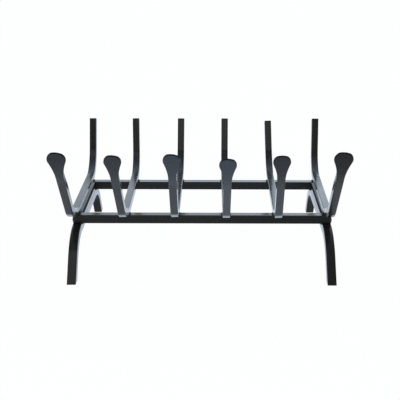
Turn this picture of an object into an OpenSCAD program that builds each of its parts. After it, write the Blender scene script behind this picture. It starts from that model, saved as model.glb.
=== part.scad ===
// Log grate: six forged square bars, bent up at both ends, welded across a
// four-sided frame that stands on two arched legs.
// Millimetres. +Z is up, +Y points to the back of the hearth. The origin is on
// the floor under the middle of the whole grate.

/* [Stock] */
// side of the square bar the log bars are bent from
bar_size = 16; // [12:0.5:22]
// side of the heavier square bar of the frame and the legs
rail_size = 19; // [14:0.5:26]
// how far the rolled corner of the bar stock is cut back
edge_soft = 1; // [0.4:0.1:2]

/* [Frame] */
// width of the frame over its outer faces
frame_w = 560; // [440:2:760]
// depth of the frame, from the front rail's face to the rear rail's back
frame_d = 251; // [210:1:330]
// height of the frame's top face above the floor
frame_h = 112; // [95:0.5:160]

/* [Front of the log bars] */
// distance behind the front rail's face where a log bar leaves the rail
lift_y = 8; // [4:0.5:14]
// centreline radius of the gentle lift in front of the rail
lift_r = 90; // [60:1:140]
// slope of the log bar between the lift and the heel, in degrees
lift_angle = 17; // [8:0.5:24]
// straight length between the lift and the heel
heel_run = 38.6; // [25:0.1:60]
// centreline radius of the heel, where the bar turns up into the arm
heel_r = 13; // [10:0.5:24]
// slope of the arm above the heel, in degrees
arm_angle = 50.4; // [40:0.1:70]
// straight length of the arm from the heel to the start of the hammered end
arm_run = 98; // [80:1:150]

/* [Hammered end] */
// straight part of the hammered end, where the bar starts to get thinner
draw_run = 25; // [15:1:40]
// radius of the front face where the hammered end curls up
curl_r = 270; // [200:5:400]
// turn of that curl from its start to the tip, in degrees
curl_angle = 17.4; // [12:0.1:24]
// turn used up by the tapering part, in degrees
draw_angle = 9.5; // [6:0.1:12]
// thickness of the flat paddle
paddle_t = 5; // [3.5:0.25:8]
// width of the two outer paddles
outer_paddle_w = 36.5; // [30:0.5:44]
// width of the four inner paddles
inner_paddle_w = 34; // [28:0.5:44]
// how much the blunt top takes off the paddle's round head
crown_cut = 1.75; // [0.5:0.25:5]
// radius of that blunt top
crown_r = 30; // [22:0.5:60]
// radius of the hollow flanks between the neck and the head
flank_r = 140; // [80:1:200]

/* [Rear of the log bars] */
// distance from the frame's back to the start of the rear bend
bend_back = 17; // [12:0.5:30]
// centreline radius of the rear bend
rear_r = 78; // [60:1:110]
// lean of the upright away from the fire, in degrees from vertical
upright_lean = 17; // [5:0.5:25]
// height of the upright's top above the frame's top face
upright_h = 136; // [110:1:180]

/* [Hand work] */
// how far log bar 1 stands right of its even place on the frame
shift_1 = -1.5; // [-4:0.1:4]
// shift of log bar 2 from its even place
shift_2 = -1.6; // [-4:0.1:4]
// shift of log bar 3 from its even place
shift_3 = -1.9; // [-4:0.1:4]
// shift of log bar 4 from its even place
shift_4 = -2.4; // [-4:0.1:4]
// shift of log bar 5 from its even place
shift_5 = -1.2; // [-4:0.1:4]
// shift of log bar 6 from its even place
shift_6 = -1.8; // [-4:0.1:4]
// sideways lean of log bar 1, in degrees, positive to the right
lean_1 = 0.25; // [-2.5:0.05:2.5]
// sideways lean of log bar 2
lean_2 = -0.85; // [-2.5:0.05:2.5]
// sideways lean of log bar 3
lean_3 = 0.5; // [-2.5:0.05:2.5]
// sideways lean of log bar 4
lean_4 = 0.15; // [-2.5:0.05:2.5]
// sideways lean of log bar 5
lean_5 = -2.1; // [-2.5:0.05:2.5]
// sideways lean of log bar 6
lean_6 = 0.65; // [-2.5:0.05:2.5]
// turn of log bar 5 seen from above, in degrees, so that it fans out at the back
fan_5 = 0.25; // [0:0.05:1]
// turn of log bar 6 seen from above
fan_6 = 0.7; // [0:0.05:1]
// how much steeper the lift of log bar 1 came out, in degrees
lift_extra_1 = 4; // [-6:0.5:6]
// extra slope of the lift of log bar 2
lift_extra_2 = 3; // [-6:0.5:6]
// extra slope of the lift of log bar 3
lift_extra_3 = 3.5; // [-6:0.5:6]
// extra slope of the lift of log bar 4
lift_extra_4 = 0.5; // [-6:0.5:6]
// extra slope of the lift of log bar 5
lift_extra_5 = 0.5; // [-6:0.5:6]
// extra slope of the lift of log bar 6
lift_extra_6 = 4.5; // [-6:0.5:6]
// how much longer the arm of log bar 1 came out than the straight length above
arm_extra_1 = 4.5; // [-16:0.5:16]
// extra length of the arm of log bar 2
arm_extra_2 = -3; // [-16:0.5:16]
// extra length of the arm of log bar 3
arm_extra_3 = 0.5; // [-16:0.5:16]
// extra length of the arm of log bar 4
arm_extra_4 = -10.5; // [-16:0.5:16]
// extra length of the arm of log bar 5
arm_extra_5 = 0.5; // [-16:0.5:16]
// extra length of the arm of log bar 6
arm_extra_6 = 6.5; // [-16:0.5:16]
// missing height of the upright of log bar 5
upright_5_short = 5; // [0:0.5:10]
// slant of the blunt top of log bar 1, in degrees, positive down to the right
slant_1 = 10; // [-20:1:20]
// slant of the blunt top of log bar 2
slant_2 = 8; // [-20:1:20]
// slant of the blunt top of log bar 3
slant_3 = 8; // [-20:1:20]
// slant of the blunt top of log bar 4
slant_4 = 4; // [-20:1:20]
// slant of the blunt top of log bar 5
slant_5 = 3; // [-20:1:20]
// slant of the blunt top of log bar 6
slant_6 = 6; // [-20:1:20]

/* [Legs] */
// how far the front feet stand in front of the frame
front_reach = 116; // [110:1:150]
// how far the rear feet stand behind the frame
rear_reach = 97; // [90:1:130]
// centreline radius of the leg's two bends
leg_r = 92; // [60:1:96]
// slope of the feet, in degrees
leg_angle = 56; // [50:0.5:62]
// sideways lean of the left leg, in degrees, positive with its feet to the right
leg_lean_left = -0.2; // [-2:0.05:2]
// sideways lean of the right leg
leg_lean_right = 1; // [-2:0.05:2]

/* [Welds] */
// radius of the weld beads beside the log bars
bead_r = 2.5; // [2:0.25:6]
// straight length of the weld beads beside the log bars
bead_len = 9; // [4:0.5:11]
// how far the corner welds stand out of the frame's ends
cap_out = 2.5; // [1:0.25:4]
// radius of the corner welds on the frame's ends
cap_r = 8; // [5:0.25:9]
// height of the corner welds below the frame's top face
cap_drop = 13; // [10:0.5:16]
// radius of the weld beads under the frame, beside the legs
foot_bead_r = 4; // [2:0.25:6]

/* [Hidden] */
$fn = 48;

steel = [0.16, 0.17, 0.18];
weld = [0.22, 0.23, 0.24];
half_bar = bar_size / 2;
half_rail = rail_size / 2;
half_frame = frame_w / 2;
shifts = [shift_1, shift_2, shift_3, shift_4, shift_5, shift_6];
leans = [lean_1, lean_2, lean_3, lean_4, lean_5, lean_6];
last = len(leans) - 1;
pitch = (frame_w - bar_size) / last;
fans = [0, 0, 0, 0, -fan_5, -fan_6];
lifts = lift_angle * [1, 1, 1, 1, 1, 1] + [
  lift_extra_1, lift_extra_2, lift_extra_3,
  lift_extra_4, lift_extra_5, lift_extra_6
];
arm_extras = [
  arm_extra_1, arm_extra_2, arm_extra_3,
  arm_extra_4, arm_extra_5, arm_extra_6
];
upright_shorts = [0, 0, 0, 0, upright_5_short, 0];
slants = [slant_1, slant_2, slant_3, slant_4, slant_5, slant_6];
paddle_ws = [
  outer_paddle_w, inner_paddle_w, inner_paddle_w,
  inner_paddle_w, inner_paddle_w, outer_paddle_w
];
rail_z = frame_h - half_rail;
leg_top = frame_h - rail_size;
bend_y = frame_d - bend_back;
rear_turn = 90 - upright_lean;
// room that a cutting block reaches past the piece it cuts
over = 20;
// straight lengths run this far into their bends, and a bend is this much
// fuller than the bar, so that the lengths of one bar join into one solid
lap = 0.1;
full = 0.02;

// a forward distance and a height, turned up by angle a
function turn(a, p) = [p[0] * cos(a) - p[1] * sin(a), p[0] * sin(a) + p[1] * cos(a)];
// where the centreline stands after a bend of radius r and angle a
function bent(r, a) = [r * sin(a), r * (1 - cos(a))];

// degrees that the curled paddle starts inside the taper, and runs on past the
// tip, where the outline of its face cuts it
lap_angle = 1;
past_tip = 3;

// front face of the tip, seen from the start of the hammered end
tip = [draw_run + curl_r * sin(curl_angle), curl_r * (1 - cos(curl_angle)) - half_bar];
// the front of log bar i, as forward distance and height from the frame's top
// face: where its lift ends, where its heel ends, and its tip
function lift_end(i) = [-lift_y, half_bar] + bent(lift_r, lifts[i]);
function heel_end(i) = lift_end(i)
  + turn(lifts[i], [heel_run, 0] + bent(heel_r, arm_angle - lifts[i]));
function bar_tip(i) = heel_end(i) + turn(arm_angle, [arm_run + arm_extras[i], 0] + tip);
tip_reach = max([for (i = [0:last]) bar_tip(i)[0]]);
// slope of the paddle's face, halfway between the taper and the tip
face_angle = (draw_angle + curl_angle) / 2;
// length of bar that the outline of the face leaves plain behind the head
blank = 2 * tip[0];

// the leg's bends: outer radius and how far a foot reaches past the bend's start
leg_outer = leg_r + half_rail;
bend_drop = leg_outer * (1 - cos(leg_angle));
foot_run = leg_outer * sin(leg_angle) + (leg_top - bend_drop) / tan(leg_angle);
leg_front_y = foot_run - front_reach;
leg_rear_y = frame_d + rear_reach - foot_run;
mid_y = (frame_d + rear_reach - tip_reach) / 2;

// square bar section with its rolled corners cut back
module section(size) {
  h = size / 2;
  k = h - edge_soft;
  polygon([[h, -k], [h, k], [k, h], [-k, h], [-h, k], [-h, -k], [-k, -h], [k, -h]]);
}

// bar running along +X, a length between two bends, and a bend towards +Z
module straight(l, size) {
  rotate([90, 0, 90]) linear_extrude(l) section(size);
}

module reach(l, size = bar_size) {
  translate([-lap, 0, 0]) straight(l + 2 * lap, size);
}

module bend(r, a, size = bar_size) {
  translate([0, 0, r]) rotate([90, 90, 0]) rotate_extrude(angle = a, $fn = 96)
    translate([r, 0]) section(size + 2 * full);
}

module past_bend(r, a) {
  translate([r * sin(a), 0, r * (1 - cos(a))]) rotate([0, -a, 0]) children();
}

// hammered end from the side, X along the bar and Y towards its inner face:
// first the length where it gets thinner, then the curled paddle
curl_y = curl_r - half_bar;
far = curl_r + over;
function on_curl(r, a) = [draw_run + r * sin(a), curl_y - r * cos(a)];

module taper_side() {
  intersection() {
    union() {
      translate([0, -half_bar - full]) square([draw_run + lap, bar_size + 2 * full]);
      intersection() {
        translate([draw_run, curl_y]) circle(curl_r, $fn = 240);
        translate([draw_run, -over]) square([curl_r, curl_r]);
      }
    }
    polygon([
      [0, -over], [0, half_bar + full], on_curl(curl_r - paddle_t, draw_angle),
      on_curl(far, draw_angle), [draw_run, -over]
    ]);
  }
}

module paddle_side() {
  intersection() {
    translate([draw_run, curl_y]) difference() {
      circle(curl_r, $fn = 240);
      circle(curl_r - paddle_t, $fn = 240);
    }
    polygon([
      [draw_run, curl_y], on_curl(far, draw_angle - lap_angle),
      on_curl(far, curl_angle + past_tip)
    ]);
  }
}

// hammered end seen square to its face: the tip is at the origin, the bar at -X
module face_outline(w, slant) {
  hw = w / 2;
  hc = hw - crown_cut;
  side = half_bar + full;
  // hollow flank, touching the bar's side and the head circle
  ry = half_bar + flank_r;
  rx = sqrt((flank_r + hw) * (flank_r + hw) - ry * ry);
  gx = rx * hw / (flank_r + hw);
  gy = ry * hw / (flank_r + hw);
  translate([-hc, 0]) {
    intersection() {
      rotate(180) circle(hw + full, $fn = 72);
      rotate(slant) translate([hc - crown_r, 0]) rotate(180) circle(crown_r, $fn = 96);
    }
    translate([-blank, -side]) square([blank, 2 * side]);
    difference() {
      translate([-rx, -gy - half_bar]) square([rx - gx, 2 * (gy + half_bar)]);
      for (s = [-1, 1]) translate([-rx, s * ry]) circle(flank_r, $fn = 160);
    }
  }
}

module across(i) {
  translate([tip[0], 0, tip[1]]) rotate([0, -face_angle, 0])
    linear_extrude(blank, center = true) face_outline(paddle_ws[i], slants[i]);
}

module hammered_end(i) {
  deep = paddle_ws[i] + over;
  intersection() {
    rotate([90, 0, 0]) linear_extrude(deep, center = true) taper_side();
    across(i);
  }
  intersection() {
    rotate([90, 0, 0]) linear_extrude(deep, center = true) paddle_side();
    across(i);
  }
}

// a whole log bar, its run resting on z = 0, the front rail's face at y = 0
module bar_shape(i) {
  up = upright_h - upright_shorts[i];
  top = (up - bar_size - (rear_r - half_bar) * (1 - cos(rear_turn))) / sin(rear_turn);
  translate([0, bend_y, half_bar]) rotate([0, 0, -90]) reach(bend_y - lift_y);
  translate([0, lift_y, half_bar]) rotate([0, 0, -90]) {
    bend(lift_r, lifts[i]);
    past_bend(lift_r, lifts[i]) {
      reach(heel_run);
      translate([heel_run, 0, 0]) {
        bend(heel_r, arm_angle - lifts[i]);
        past_bend(heel_r, arm_angle - lifts[i]) {
          reach(arm_run + arm_extras[i]);
          translate([arm_run + arm_extras[i], 0, 0]) hammered_end(i);
        }
      }
    }
  }
  translate([0, bend_y, half_bar]) rotate([0, 0, 90]) {
    bend(rear_r, rear_turn);
    past_bend(rear_r, rear_turn) translate([-lap, 0, 0]) straight(top + lap, bar_size);
  }
}

module place_bar(i) {
  translate([i * pitch + half_bar - half_frame + shifts[i], -mid_y, frame_h])
    rotate([0, leans[i], fans[i]]) children();
}

// the leaning bar is dressed flat where it lies on the frame
module log_bar(i) {
  color(steel) difference() {
    place_bar(i) bar_shape(i);
    translate([-frame_w, -mid_y, rail_z]) cube([2 * frame_w, frame_d, half_rail]);
  }
}

// a rail section laid on the frame's centre height
module rail(l) {
  translate([-l / 2, 0, 0]) straight(l, rail_size);
}

module front_rail() {
  color(steel) translate([0, half_rail - mid_y, rail_z]) rail(frame_w);
}

module rear_rail() {
  color(steel) translate([0, frame_d - half_rail - mid_y, rail_z]) rail(frame_w);
}

module side_rail(s) {
  color(steel) translate([s * (half_frame - half_rail), frame_d / 2 - mid_y, rail_z])
    rotate([0, 0, 90]) rail(frame_d - 2 * rail_size);
}

// one half of a leg: it runs out from y = 0 for l, then bends down to the floor
module half_leg(l) {
  reach(l, rail_size);
  translate([l, 0, 0]) {
    bend(leg_r, leg_angle, rail_size);
    past_bend(leg_r, leg_angle) reach(leg_top / sin(leg_angle) + rail_size, rail_size);
  }
}

// the leaning leg is dressed flat where it meets the frame
module leg_arch(s, lean) {
  color(steel) difference() {
    translate([s * (half_frame - half_rail), frame_d / 2 - mid_y, leg_top])
      rotate([0, -lean, 0]) translate([0, 0, -half_rail]) {
        rotate([180, 0, -90]) half_leg(frame_d / 2 - leg_front_y);
        rotate([180, 0, 90]) half_leg(leg_rear_y - frame_d / 2);
      }
    translate([-frame_w, -frame_w, -frame_h]) cube([2 * frame_w, 2 * frame_w, frame_h]);
    translate([-frame_w, -mid_y, leg_top]) cube([2 * frame_w, frame_d, half_rail]);
  }
}

// round-ended bead in a corner that opens by angle a: it lies along Y and turns
// from +Z towards +X
module bead(r, l, a) {
  rotate([-90, -90, 0]) rotate_extrude(angle = a, $fn = 48) intersection() {
    union() {
      for (s = [-1, 1]) translate([0, s * l / 2]) circle(r, $fn = 24);
      translate([0, -l / 2]) square([r, l]);
    }
    translate([0, -l]) square([2 * r, 2 * l]);
  }
}

// beads in the corners between log bar i and the rail whose middle is at y
module bar_welds(i, y) {
  z = half_bar * tan(leans[i]);
  color(weld) place_bar(i) {
    if (i < last) translate([half_bar, y, z]) bead(bead_r, bead_len, 90 - leans[i]);
    if (i > 0) translate([-half_bar, y, -z]) mirror([1, 0, 0]) bead(bead_r, bead_len, 90 + leans[i]);
  }
}

// shallow weld cap on the frame's end, over the joint of rail and leg
module corner_weld(s, y) {
  r = (cap_r * cap_r + cap_out * cap_out) / (2 * cap_out);
  color(weld) translate([s * half_frame, y - mid_y, frame_h - cap_drop]) intersection() {
    translate([s * (cap_out - r), 0, 0]) sphere(r, $fn = 96);
    translate([s * over / 2, 0, 0]) cube([over, 2 * over, 2 * over], center = true);
  }
}

// bead under the rail, in the corner beside the leg's inner face
module leg_weld(s, y) {
  color(weld) translate([s * (half_frame - rail_size), y - mid_y, leg_top])
    rotate([0, s > 0 ? 180 : 90, 0]) bead(foot_bead_r, rail_size / 3, 90);
}

module log_bar_1() { log_bar(0); }
module log_bar_2() { log_bar(1); }
module log_bar_3() { log_bar(2); }
module log_bar_4() { log_bar(3); }
module log_bar_5() { log_bar(4); }
module log_bar_6() { log_bar(5); }
module side_rail_left() { side_rail(-1); }
module side_rail_right() { side_rail(1); }
module leg_arch_left() { leg_arch(-1, leg_lean_left); }
module leg_arch_right() { leg_arch(1, leg_lean_right); }

module front_weld_1() { bar_welds(0, half_rail); }
module front_weld_2() { bar_welds(1, half_rail); }
module front_weld_3() { bar_welds(2, half_rail); }
module front_weld_4() { bar_welds(3, half_rail); }
module front_weld_5() { bar_welds(4, half_rail); }
module front_weld_6() { bar_welds(5, half_rail); }
module rear_weld_1() { bar_welds(0, frame_d - half_rail); }
module rear_weld_2() { bar_welds(1, frame_d - half_rail); }
module rear_weld_3() { bar_welds(2, frame_d - half_rail); }
module rear_weld_4() { bar_welds(3, frame_d - half_rail); }
module rear_weld_5() { bar_welds(4, frame_d - half_rail); }
module rear_weld_6() { bar_welds(5, frame_d - half_rail); }

module corner_weld_front_left() { corner_weld(-1, half_rail); }
module corner_weld_front_right() { corner_weld(1, half_rail); }
module corner_weld_rear_left() { corner_weld(-1, frame_d - half_rail); }
module corner_weld_rear_right() { corner_weld(1, frame_d - half_rail); }
module leg_weld_front_left() { leg_weld(-1, half_rail); }
module leg_weld_front_right() { leg_weld(1, half_rail); }
module leg_weld_rear_left() { leg_weld(-1, frame_d - half_rail); }
module leg_weld_rear_right() { leg_weld(1, frame_d - half_rail); }

log_bar_1();
log_bar_2();
log_bar_3();
log_bar_4();
log_bar_5();
log_bar_6();
front_rail();
rear_rail();
side_rail_left();
side_rail_right();
leg_arch_left();
leg_arch_right();
front_weld_1();
front_weld_2();
front_weld_3();
front_weld_4();
front_weld_5();
front_weld_6();
rear_weld_1();
rear_weld_2();
rear_weld_3();
rear_weld_4();
rear_weld_5();
rear_weld_6();
corner_weld_front_left();
corner_weld_front_right();
corner_weld_rear_left();
corner_weld_rear_right();
leg_weld_front_left();
leg_weld_front_right();
leg_weld_rear_left();
leg_weld_rear_right();
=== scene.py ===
# %% [markdown]
# # A forged log grate, dressed for the camera
#
# Six square steel bars carry the logs. A smith bent each one up at both ends,
# hammered the front end into a flat paddle, and welded the bars across a
# frame of heavier bar that stands on two arched legs. The whole grate was
# then painted satin black. The CAD model gives the exact sizes; this script
# gives every bar its rolled corners, hammer marks, weld ripples and paint.

import bpy
import mathutils
import numpy as np
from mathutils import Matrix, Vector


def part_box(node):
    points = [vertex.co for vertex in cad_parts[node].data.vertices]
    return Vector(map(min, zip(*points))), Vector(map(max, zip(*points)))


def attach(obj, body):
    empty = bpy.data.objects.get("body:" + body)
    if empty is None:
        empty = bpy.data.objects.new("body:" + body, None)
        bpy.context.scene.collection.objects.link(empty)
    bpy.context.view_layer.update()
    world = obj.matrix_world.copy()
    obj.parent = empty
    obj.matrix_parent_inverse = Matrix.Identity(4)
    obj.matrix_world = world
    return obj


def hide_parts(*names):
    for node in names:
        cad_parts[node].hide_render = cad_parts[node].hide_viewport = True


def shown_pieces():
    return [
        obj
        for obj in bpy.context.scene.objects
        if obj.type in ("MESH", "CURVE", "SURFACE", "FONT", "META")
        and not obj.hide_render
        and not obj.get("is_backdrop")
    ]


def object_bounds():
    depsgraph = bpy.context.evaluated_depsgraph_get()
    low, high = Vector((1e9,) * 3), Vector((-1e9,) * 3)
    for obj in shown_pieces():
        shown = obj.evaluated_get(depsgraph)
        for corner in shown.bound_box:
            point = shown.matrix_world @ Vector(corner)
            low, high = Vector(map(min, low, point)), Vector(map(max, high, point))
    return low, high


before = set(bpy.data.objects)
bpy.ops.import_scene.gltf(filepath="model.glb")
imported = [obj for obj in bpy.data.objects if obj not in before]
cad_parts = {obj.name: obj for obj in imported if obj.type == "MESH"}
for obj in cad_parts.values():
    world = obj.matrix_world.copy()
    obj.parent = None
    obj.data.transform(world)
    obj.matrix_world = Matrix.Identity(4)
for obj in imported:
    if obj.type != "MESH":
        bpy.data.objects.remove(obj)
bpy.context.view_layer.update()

# %% [markdown]
# ## The sizes of the stock and of the bends
#
# A smith works from a short list: the bar, the radius of each bend and the
# length between two bends. The same list drives the surfaces below, so a
# surface can be checked against the box of its CAD node. The heights and
# the depth of the frame are read from the CAD boxes, and the rest is
# repeated here in millimetres.

# %% The list of sizes, in metres
MM = 0.001
BAR = 16 * MM
RAIL = 19 * MM
HALF, HALF_RAIL = BAR / 2, RAIL / 2

front_low, front_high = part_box("front_rail")
_, rear_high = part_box("rear_rail")
FRONT_Y, BACK_Y = front_low.y, rear_high.y
FRAME_TOP, FRAME_UNDER = front_high.z, front_low.z
HALF_FRAME = front_high.x

LIFT_Y, LIFT_R = 8 * MM, 90 * MM         # where the front lift starts; its radius
HEEL_RUN, HEEL_R = 38.6 * MM, 13 * MM    # from the lift to the heel; its radius
HEEL_ANGLE = 31.5                        # degrees, slope of the flat on the heel
HEEL_INTO, HEEL_OUT = 20 * MM, 11 * MM   # radius of the bends beside that flat
ARM_ANGLE, ARM_RUN = 50.4, 98 * MM       # slope and length of the straight arm
BEND_BACK, REAR_R = 17 * MM, 78 * MM     # where the rear bend starts; its radius
UPRIGHT_LEAN, UPRIGHT_H = 17.0, 136 * MM
print("frame, mm:", round((BACK_Y - FRONT_Y) / MM, 1), "deep,",
      round(2 * HALF_FRAME / MM, 1), "wide, top at", round(FRAME_TOP / MM, 1))

# %% [markdown]
# ## A bent bar is a walk
#
# Bending a bar doesn't change its length much, so its centre line can be
# walked: so far straight on, then so far while turning. Curves drawn by hand
# (a Bézier through a few points) would give egg-shaped bends. A walk with a
# steady turn gives the true arcs that a bending jig makes.

# %% Walking along a centre line
def walk(moves, step=2.2 * MM):
    """Stations of a walk in a plane, as (forward, up, heading in radians).

    Each move is a length and a turn in degrees. The heading grows in
    proportion to the way gone, and each step is the chord of its small arc:
    its length times sin(half the turn) over half the turn, laid along the
    heading at its middle.
    """
    turns, lengths = [], []
    for length, turn in moves:
        count = max(2, int(np.ceil(length / step)))
        turns.append(np.full(count, np.radians(turn) / count))
        lengths.append(np.full(count, length / count))
    turns, lengths = np.concatenate(turns), np.concatenate(lengths)
    heading = np.concatenate([[0.0], np.cumsum(turns)])
    middle = (heading[1:] + heading[:-1]) / 2
    chord = lengths * np.sinc(turns / 2 / np.pi)
    forward = np.concatenate([[0.0], np.cumsum(chord * np.cos(middle))])
    up = np.concatenate([[0.0], np.cumsum(chord * np.sin(middle))])
    return forward, up, heading


arc = walk([(100 * MM * np.pi / 2, 90)])
print("a quarter circle of 100 mm ends at, mm:",
      [round(float(v[-1]) / MM, 2) for v in arc[:2]])

# %% [markdown]
# ## The section of rolled square bar
#
# Hot-rolled bar never has knife edges: its corners are rounded to about a
# millimetre, and that round is what catches the light as a thin bright line.
# A Bevel modifier could round a box, but it can't follow a bar that turns into
# a thin paddle. So the section is written as one ring of points that knows
# which points belong to a flat and which to a corner.

# %% One ring round the bar
EDGE = 1.2 * MM      # radius of the rolled corners
FLAT_POINTS = 9      # points between two corners
CORNER_POINTS = 6    # points on each corner's quarter circle


def ring_pattern():
    """The ring as four arrays: flat and corner shares, across and up.

    A point lies at across = flat_a * (half width - corner) + round_a *
    corner, and in the same way up. On a corner the flat share is 1 or -1
    and the round share is the cosine or sine of the corner's angle.
    """
    angle = np.linspace(0, np.pi / 2, CORNER_POINTS)
    along = np.linspace(1, -1, FLAT_POINTS + 2)[1:-1]
    one, nil = np.ones(CORNER_POINTS), np.zeros(FLAT_POINTS)
    flat_a = np.concatenate([one, along])
    round_a = np.concatenate([np.cos(angle), nil])
    flat_u = np.concatenate([one, nil + 1])
    round_u = np.concatenate([np.sin(angle), nil + 1])
    quarter = (flat_a, flat_u, round_a, round_u)
    # each quarter is the last one turned by a right angle
    parts = [quarter]
    for _ in range(3):
        a, u, ra, ru = parts[-1]
        parts.append((-u, a, -ru, ra))
    return [np.concatenate([p[k] for p in parts]) for k in range(4)]


FLAT_A, FLAT_U, ROUND_A, ROUND_U = ring_pattern()
ON_CORNER = np.abs(ROUND_A * ROUND_U)
RING = len(FLAT_A)
print("points in a ring:", RING)

# %% [markdown]
# ## From a grid of points to a closed skin
#
# Every piece here is a grid: rings along the piece, points round each ring.
# Neighbouring points make the faces, and one flat face closes each end. A
# right-hand piece is the mirror of a left-hand one, and a mirror turns faces
# inside out, so the volume is worked out first: where it is negative, the
# points of each ring are taken the other way round, and so are the marks that
# the paint reads there.

# %% Which way round a grid is
def volume(grid):
    """Volume inside a closed tube. Each face with the origin makes a
    pyramid, whose volume is a sixth of its corners' triple products; the
    two ends are fans round their first points."""
    a, b = grid[:-1], np.roll(grid, -1, axis=1)[:-1]
    c, d = np.roll(grid, -1, axis=1)[1:], grid[1:]
    side = (np.einsum("ijk,ijk->", a, np.cross(b, c))
            + np.einsum("ijk,ijk->", a, np.cross(c, d)))
    ends = 0.0
    for ring in (grid[0, ::-1], grid[-1]):
        ends += np.einsum("k,ik->", ring[0], np.cross(ring[1:-1], ring[2:]))
    return (side + ends) / 6


square = np.array([[-5, -5], [5, -5], [5, 5], [-5, 5]]) * MM
box = np.stack([np.c_[square, [z, z, z, z]] for z in (0, 10 * MM)])
print("a cube of 10 mm, cm3:", round(volume(box) * 1e6, 3), "and turned inside out:",
      round(volume(box[:, ::-1]) * 1e6, 3))


# %% Making the mesh
def skin(name, grids, node, marks=None):
    """One piece from one or more closed tubes grid[ring, point, xyz].

    The face between rings i and i + 1 and points j and j + 1 joins those
    four points; the last point of a ring joins its first. marks are extra
    numbers[ring, point], which the paint's nodes read. The piece stands
    for its CAD node, and the difference of their boxes is printed.
    """
    points, faces, total, marks = [], [], 0.0, marks or {}
    for grid in grids:
        if volume(grid) < 0:
            grid = grid[:, ::-1]
            marks = {mark: values[:, ::-1] for mark, values in marks.items()}
        total += volume(grid)
        rings, count, _ = grid.shape
        index = np.arange(rings * count).reshape(rings, count) + sum(map(len, points))
        side = np.roll(index, -1, axis=1)
        quads = np.stack([index[:-1], side[:-1], side[1:], index[1:]], axis=-1)
        faces += quads.reshape(-1, 4).tolist()
        faces += [index[0, ::-1].tolist(), index[-1].tolist()]
        points.append(grid.reshape(-1, 3))
    points = np.concatenate(points)
    mesh = bpy.data.meshes.new(name)
    mesh.from_pydata(points.tolist(), [], faces)
    for mark, values in marks.items():
        layer = mesh.attributes.new(mark, "FLOAT", "POINT")
        layer.data.foreach_set("value", np.ravel(values).astype(np.float32))
    mesh.shade_smooth()
    piece = bpy.data.objects.new(name, mesh)
    bpy.context.scene.collection.objects.link(piece)
    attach(piece, "root")
    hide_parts(node)
    low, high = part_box(node)
    off = np.r_[points.min(0) - np.array(low), points.max(0) - np.array(high)]
    print(f"{name}: {total * 1e6:.2f} cm3, {len(faces)} faces, box within "
          f"{np.abs(off).max() / MM:.2f} mm of {node}")
    return piece


# %% [markdown]
# ## The hammered end, seen from the side
#
# The smith draws the last hand's breadth of the bar down on the anvil: its
# front face stays true and curls up a little, while its inner face is
# hammered towards it until the paddle is only 5 mm thick. So the front face
# is the line to build on, and the thickness is measured back from it.

# %% Front face of the hammered end
DRAW_RUN = 25 * MM       # straight part, where the bar starts to get thinner
CURL_R = 270 * MM        # radius of the front face
CURL_ANGLE = 17.4        # degrees turned at the tip
TIP = np.array([DRAW_RUN + CURL_R * np.sin(np.radians(CURL_ANGLE)),
                CURL_R * (1 - np.cos(np.radians(CURL_ANGLE))) - HALF])


def front_face(way):
    """Point and heading on the front face, way metres past the arm's end.

    It runs straight for DRAW_RUN, then round a circle of radius CURL_R whose
    centre is on the inner side.
    """
    turn = np.clip(way - DRAW_RUN, 0, None) / CURL_R
    forward = np.minimum(way, DRAW_RUN) + CURL_R * np.sin(turn)
    up = CURL_R * (1 - np.cos(turn)) - HALF
    return forward, up, turn


print("tip past the arm's end, mm:", np.round(TIP / MM, 1).tolist())


# %% Thickness of the hammered end
PADDLE_T = 5 * MM        # thickness of the paddle
DRAW_ANGLE = 9.5         # degrees turned where the paddle starts
EASE = 0.6 * MM          # rounding where the taper meets the paddle


def thickness(way):
    """Thickness there: along the normal, from the front face to a straight
    line that runs from the bar's inner face to the paddle's, and no less
    than PADDLE_T. The corner between the two is eased by a soft maximum."""
    forward, up, turn = front_face(way)
    inner = CURL_R - PADDLE_T
    angle = np.radians(DRAW_ANGLE)
    end = np.array([DRAW_RUN + inner * np.sin(angle),
                    CURL_R - HALF - inner * np.cos(angle)])
    slope = (end[1] - HALF) / end[0]
    taper = (HALF + slope * forward - up) / (np.cos(turn) + slope * np.sin(turn))
    return PADDLE_T + (taper - PADDLE_T + np.hypot(taper - PADDLE_T, EASE)) / 2


print("thickness every 20 mm, mm:",
      np.round(thickness(np.arange(0, 0.11, 0.02)) / MM, 1).tolist())

# %% Places along the paddle's face
FACE_ANGLE = np.radians((DRAW_ANGLE + CURL_ANGLE) / 2)    # its middle slope


def face_place(forward, up):
    """Place along the paddle's face, 0 at the tip: the share of the way from
    TIP that runs along the face's middle slope."""
    return ((forward - TIP[0]) * np.cos(FACE_ANGLE)
            + (up - TIP[1]) * np.sin(FACE_ANGLE))


print("the arm's end lies at, mm:", round(face_place(0, 0) / MM, 1))

# %% [markdown]
# ## The hammered end, seen square to its face
#
# The paddle is not a lollipop stuck on a bar: its flanks sweep out of the
# bar in a long hollow curve, swell to a round head, and end in a blunter arc
# where the hammer met the end of the bar. Each of these is an arc of a
# circle, so the width anywhere and the distance to the edge are exact.

# %% Width of the paddle and distance to its edge
CROWN_CUT, CROWN_R, FLANK_R = 1.75 * MM, 30 * MM, 140 * MM


def root(v):
    """Square root, and 0 where there is none."""
    return np.sqrt(np.clip(v, 0, None))


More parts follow.
